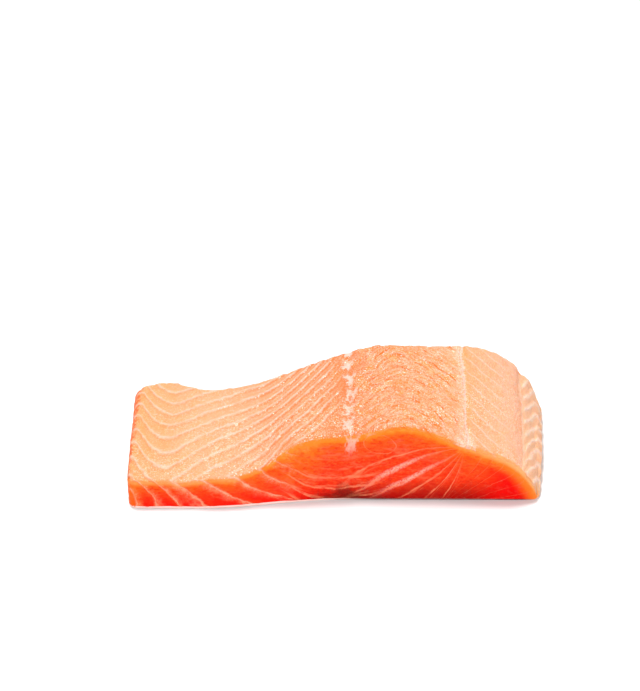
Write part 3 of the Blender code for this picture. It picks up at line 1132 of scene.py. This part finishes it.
    def paint_bands(self, color):
        """Two of the fan's lines are thick, pale and granular."""
        granular = self.noise(0.0007, 2.0, 0.6).step(0.36, 0.56, 0.25, 1.0)
        band = off_line(self.phase("band")).step(0.27, 0.06) * self.read("band_share")
        return self.mix(0.85 * band * granular, color, BAND)

    def paint_feathers(self, color):
        """Each line on the front cut frays into strands on its lower side."""
        for name, count, reach, strength in FEATHERS:
            past = self.phase(name).fraction()
            near = past.step(reach, 0.02).larger(past.step(0.86, 0.98))
            strands = self.fibres(name, count, FEATHER_LENGTH).step(0.47, 0.60)
            share = self.read(name + "_share") * self.front * strength
            color = self.mix(near * strands * share, color, FEATHER)
        return color

    def paint_dark_muscle(self, color):
        """At the foot of the loin a wedge of dark muscle shows on the front cut."""
        away = self.read("dark_muscle") + 1.4 * self.wobble + self.fray
        return self.mix(0.80 * away.step(1.55, 0.20) * self.front, color, DARK_MUSCLE)

    def paint_cracks(self, color):
        return self.mix(0.80 * self.crack, color, CRACK)

    def paint_pin_bones(self, color):
        """Pale tissue along the pin bones: a column in the cut, and patches with arms on top."""
        off_bones = abs(self.read("pin_bones") + 5.0 * self.wobble + 3.0 * self.fray)
        streaks = self.noise(0.0014, 3.0, 0.7, (0.6, 1.0, 2.5)) - 0.5
        column = 0.75 * (off_bones + 9.0 * streaks).step(2.4, 0.2) * self.drop.step(0.5, 2.0)
        off_bones *= self.drop.step(0.0, 9.0, 1.0, 2.5)

        spacing = MM * PIN_BONE_SPACING
        beat = self.math("COSINE", self.depth * (2.0 * math.pi / spacing))
        clouds = self.noise(0.0026, 4.0, 0.6) - 0.5
        patches = (0.22 * beat + 2.6 * clouds - 0.32 * off_bones).step(-0.45, 0.15)
        behind = ((self.depth + self.wobble) / spacing).fraction()
        arms = abs(off_bones - 4.5 * behind).step(1.1, 0.2)
        arms *= behind.step(0.60, 0.30) * self.drop.step(1.0, 3.0, 0.8, 0.2)
        tissue = patches.larger(arms).larger(column) * self.drop.step(9.5, 3.0)
        return self.mix(0.70 * tissue, color, PIN_BONE_TISSUE)

    def paint_seams(self, color):
        """Pale tissue at the loin line, a shade right of it, and a thread at the dorsal line."""
        seam = self.read("loin_line")
        ragged = seam + 5.0 * self.wobble
        stitches = self.fray.step(-0.08, 0.06, 0.2, 0.9)
        beside = 0.6 * ragged.step(-4.0, -0.5) * seam.step(0.5, 0.0) * stitches
        thread = 0.95 * abs(seam + 3.0 * self.fray).step(0.9, 0.2)
        front_patch = self.depth.step(19.0, 7.0) * abs(ragged + 1.5).step(5.5, 1.0)
        front_patch *= self.fray.step(-0.10, 0.04, 0.35, 1.0)
        tissue = beside.larger(thread).larger(front_patch)

        on_top = self.cut.step(0.80, 0.40)
        shade = seam.step(0.3, 0.8) * seam.step(4.0, 1.2) * self.depth.step(12.0, 24.0)
        color = self.mix(0.45 * shade * on_top, color, SEAM_SHADE)
        color = self.mix(0.80 * tissue * on_top, color, SEAM_TISSUE)
        dorsal = abs(self.read("dorsal")).step(0.7, 0.2)
        return self.mix(0.5 * dorsal * self.front.step(0.8, 0.3), color, DORSAL_THREAD)

    def paint_glints(self, color):
        """Wet glints, most of them near the ridge, on the loin and in front of flake lines."""
        glint = self.noise(0.0006, 1.0).step(0.60, 0.66) * self.noise(0.005, 2.0).step(0.44, 0.56)
        near_ridge = self.depth.step(30.0, 12.0, 0.25, 0.80)
        where = self.past_flake.step(0.6, 0.9).larger(near_ridge).larger(0.50 * self.loin)
        where *= self.along.step(14.0, 40.0) * self.along.step(134.0, 128.0)
        return self.mix(0.95 * glint * where * self.cut.step(0.3, 0.1), color, GLINT)

    def fine_relief(self):
        """Grain too fine for the mesh, raised lines, and sunken cracks and grooves."""
        grain = self.noise(0.0012, 3.0, 0.65) + 0.8 * self.noise(0.0006, 2.0, 0.6)
        grain *= self.cut.step(0.2, 0.8, 0.7, 0.2) + 0.10 * self.loin
        return grain + 0.25 * self.lines - 0.5 * (self.crack + 0.8 * self.groove)


def flesh_material():
    n = Flesh()
    color = n.mix(n.edge, n.top_color(), n.cut_color())
    layers = (
        n.paint_rim_glow,
        n.paint_lines,
        n.paint_bands,
        n.paint_feathers,
        n.paint_dark_muscle,
        n.paint_cracks,
        n.paint_pin_bones,
        n.paint_seams,
        n.paint_glints,
    )
    for paint in layers:
        color = paint(color)
    return n.shade(
        Base_Color=color,
        Roughness=n.cut.step(0.2, 0.8, 0.42, 0.34),
        Specular_IOR_Level=0.05,
        IOR=1.38,
        Coat_Weight=0.03,
        Coat_Roughness=0.16,
        Subsurface_Weight=0.20,
        Subsurface_Radius=(1.0, 0.30, 0.12),
        Subsurface_Scale=0.002,
        Normal=n.bump(n.fine_relief(), 0.0007),
    )


def skin_material():
    """Pale under the belly, with scales that turn dark towards the back; its edge is pinkish."""
    n = Nodes("silver_salmon_skin")
    along = n.read("along")
    scales = n.cells(SCALE_SIZE)
    under = n.mix(along.step(60.0, 120.0), SKIN_UNDER_BELLY, SKIN_UNDER_BACK)
    under = n.mix(scales.step(0.25, 0.75, 0.0, 0.6), under, SKIN_SCALE)
    edge = n.mix(along.step(70.0, 95.0), SKIN_EDGE_BELLY, SKIN_EDGE_LOIN)
    edge = n.mix(along.step(150.0, 157.0), edge, SKIN_EDGE_BACK)
    return n.shade(
        Base_Color=n.mix(n.read("edge"), under, edge),
        Roughness=0.34,
        Metallic=0.1,
        Coat_Weight=0.2,
        Normal=n.bump(scales, 0.0002),
    )


def floor_material():
    n = Nodes("pale_floor")
    return n.shade(Base_Color=n.mix(n.noise(0.25), *FLOOR_COLORS), Roughness=0.85)


def floor():
    bm = bmesh.new()
    bmesh.ops.create_grid(bm, x_segments=8, y_segments=8, size=FLOOR_SIZE)
    obj = new_object("floor", bm, floor_material())


def area_light(name, place, size, power):
    light = bpy.data.lights.new(name, "AREA")
    light.shape = "RECTANGLE"
    light.size, light.size_y = size
    light.energy = power
    obj = bpy.data.objects.new(name, light)
    obj.location = place
    obj.rotation_euler = (-Vector(place)).to_track_quat("-Z", "Y").to_euler()
    bpy.context.scene.collection.objects.link(obj)


def lights():
    for name, (place, size, power) in LIGHTS.items():
        area_light(name, place, size, power)
    world = bpy.data.worlds.new("studio")
    world.use_nodes = True
    background = world.node_tree.nodes["Background"]
    background.inputs["Color"].default_value = (1.0, 1.0, 1.0, 1.0)
    background.inputs["Strength"].default_value = WORLD_STRENGTH
    bpy.context.scene.world = world


def camera():
    data = bpy.data.cameras.new("camera")
    data.lens = CAMERA_LENS
    obj = bpy.data.objects.new("camera", data)
    obj.location = CAMERA_PLACE
    obj.rotation_euler = (CAMERA_PITCH, 0.0, CAMERA_YAW)
    bpy.context.scene.collection.objects.link(obj)
    bpy.context.scene.camera = obj


for leftover in list(bpy.data.objects):
    bpy.data.objects.remove(leftover)
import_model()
bpy.context.scene.view_settings.view_transform = "Standard"
camera()
lights()
floor()
flesh_piece, scale, shift = flesh(flesh_material(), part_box(NODE))
skin_piece = skin(skin_material(), scale, shift)
for piece in (flesh_piece, skin_piece):
    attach(piece, "root")
    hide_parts(NODE)
